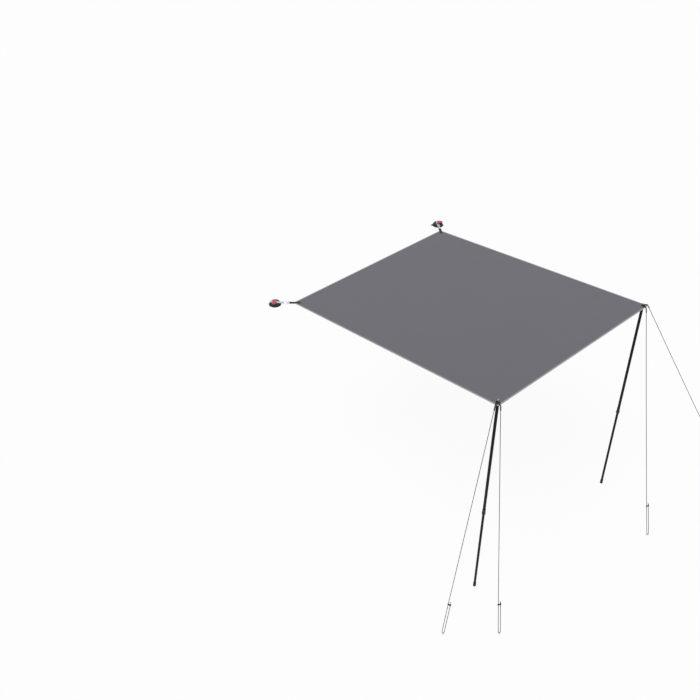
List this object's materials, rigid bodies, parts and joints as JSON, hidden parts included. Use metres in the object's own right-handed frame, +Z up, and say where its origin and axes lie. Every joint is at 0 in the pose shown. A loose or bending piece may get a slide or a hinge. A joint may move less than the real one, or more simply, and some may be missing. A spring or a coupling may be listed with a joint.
{
  "type": "vehicle side awning",
  "caption": "Vehicle side awning: a taut cloth sheet held by vacuum cups with cam levers on the roof, and by telescopic poles with guy ropes and ground pegs.",
  "frame": {"origin": "centre of the front cup's sealing face, on the vehicle's roof", "axes": "+X along the vehicle towards its rear, -Y away from the vehicle to the poles, +Z up"},
  "size_m": [3.7522, 3.3762, 2.4031],
  "materials": {
    "cloth": "coated plain weave, taut, matt",
    "tape": "folded binding tape, stitched",
    "webbing": "woven webbing",
    "rope": "braided cord",
    "rubber": "moulded, satin",
    "black": "fine moulded grain",
    "nylon": "natural nylon",
    "red": "moulded, semi-gloss",
    "steel": "bright stainless or plated",
    "dark": "turned, oiled",
    "coated": "black powder coat on aluminium tube"
  },
  "bodies": {
    "sheet_and_cups": {"sheet_panel": "cloth", "edge_binding": "tape", "front_corner_strap": "webbing", "front_d_ring": "steel", "front_eyelet": "steel", "front_eyelet_washer": "steel", "front_cup_pad": "rubber", "front_cup_housing": "black", "front_cup_hook_plate": "steel", "front_cup_rivet_eye": "steel", "front_cup_rivet_tail": "steel", "front_snap_hook": "steel", "front_snap_hook_pin": "dark", "rear_corner_strap": "webbing", "rear_d_ring": "steel", "rear_eyelet": "steel", "rear_eyelet_washer": "steel", "rear_cup_pad": "rubber", "rear_cup_housing": "black", "rear_cup_hook_plate": "steel", "rear_cup_rivet_eye": "steel", "rear_cup_rivet_tail": "steel", "rear_snap_hook": "steel", "rear_snap_hook_pin": "dark", "front_outer_guy_rope": "rope", "front_outer_guy_runner": "black", "front_outer_guy_peg": "steel", "front_side_guy_rope": "rope", "front_side_guy_runner": "black", "front_side_guy_peg": "steel", "rear_outer_guy_rope": "rope", "rear_outer_guy_runner": "black", "rear_outer_guy_peg": "steel", "rear_side_guy_rope": "rope", "rear_side_guy_runner": "black", "rear_side_guy_peg": "steel"},
    "front_stem": {"front_cup_stem": "dark", "front_cup_lever_pin": "steel"},
    "front_lever": {"front_cup_lever": "red"},
    "front_gate": {"front_snap_hook_gate": "steel"},
    "front_pole": {"front_pole_spigot": "steel", "front_pole_top_plug": "black", "front_pole_upper_tube": "coated", "front_pole_collet": "black"},
    "front_lock_ring": {"front_pole_lock_ring": "black"},
    "front_lower_pole": {"front_pole_guide_bush": "nylon", "front_pole_lower_tube": "coated", "front_pole_foot": "rubber"},
    "rear_stem": {"rear_cup_stem": "dark", "rear_cup_lever_pin": "steel"},
    "rear_lever": {"rear_cup_lever": "red"},
    "rear_gate": {"rear_snap_hook_gate": "steel"},
    "rear_pole": {"rear_pole_spigot": "steel", "rear_pole_top_plug": "black", "rear_pole_upper_tube": "coated", "rear_pole_collet": "black"},
    "rear_lock_ring": {"rear_pole_lock_ring": "black"},
    "rear_lower_pole": {"rear_pole_guide_bush": "nylon", "rear_pole_lower_tube": "coated", "rear_pole_foot": "rubber"}
  },
  "joints": [
    {"name": "front_stem_slide", "type": "slide", "parent": "sheet_and_cups", "child": "front_stem", "axis": [0, 0, 1], "range_m": [-0.004, 0]},
    {"name": "front_lever_hinge", "type": "hinge", "parent": "front_stem", "child": "front_lever", "pos_m": [0, 0, 0.0371], "axis": [-0.6187, 0.7856, 0], "range_deg": [0, 105]},
    {"name": "front_gate_hinge", "type": "hinge", "parent": "sheet_and_cups", "child": "front_gate", "pos_m": [0.06949, -0.08673, 0.04087], "axis": [-0.788, -0.6108, 0.0775], "range_deg": [0, 22], "stiffness_Nm_per_rad": 0.15, "springref_deg": -17.19},
    {"name": "front_pole_lean", "type": "hinge", "parent": "sheet_and_cups", "child": "front_pole", "pos_m": [0.14494, -2.58501, 0.3456], "axis": [1, 0, 0], "range_deg": [-8, 3]},
    {"name": "front_lock_ring_turn", "type": "hinge", "parent": "front_pole", "child": "front_lock_ring", "pos_m": [0.14494, -2.58501, 0.3456], "axis": [0, 0, 1], "range_deg": [0, 90]},
    {"name": "front_lower_pole_slide", "type": "slide", "parent": "front_pole", "child": "front_lower_pole", "axis": [0, 0, 1], "range_m": [0, 0.9]},
    {"name": "rear_stem_slide", "type": "slide", "parent": "sheet_and_cups", "child": "rear_stem", "axis": [0, 0, 1], "range_m": [-0.004, 0]},
    {"name": "rear_lever_hinge", "type": "hinge", "parent": "rear_stem", "child": "rear_lever", "pos_m": [2.21988, 0, 0.0371], "axis": [-0.6187, -0.7856, 0], "range_deg": [0, 105]},
    {"name": "rear_gate_hinge", "type": "hinge", "parent": "sheet_and_cups", "child": "rear_gate", "pos_m": [2.15039, -0.08673, 0.04087], "axis": [-0.788, 0.6108, -0.0775], "range_deg": [0, 22], "stiffness_Nm_per_rad": 0.15, "springref_deg": -17.19},
    {"name": "rear_pole_lean", "type": "hinge", "parent": "sheet_and_cups", "child": "rear_pole", "pos_m": [2.07494, -2.58501, 0.3456], "axis": [1, 0, 0], "range_deg": [-8, 3]},
    {"name": "rear_lock_ring_turn", "type": "hinge", "parent": "rear_pole", "child": "rear_lock_ring", "pos_m": [2.07494, -2.58501, 0.3456], "axis": [0, 0, 1], "range_deg": [0, 90]},
    {"name": "rear_lower_pole_slide", "type": "slide", "parent": "rear_pole", "child": "rear_lower_pole", "axis": [0, 0, 1], "range_m": [0, 0.9]}
  ],
  "couplings": [
    {"joint": "front_lever_hinge", "follows": "front_stem_slide", "rad_per_m": -458.15},
    {"joint": "rear_lever_hinge", "follows": "rear_stem_slide", "rad_per_m": -458.15}
  ]
}
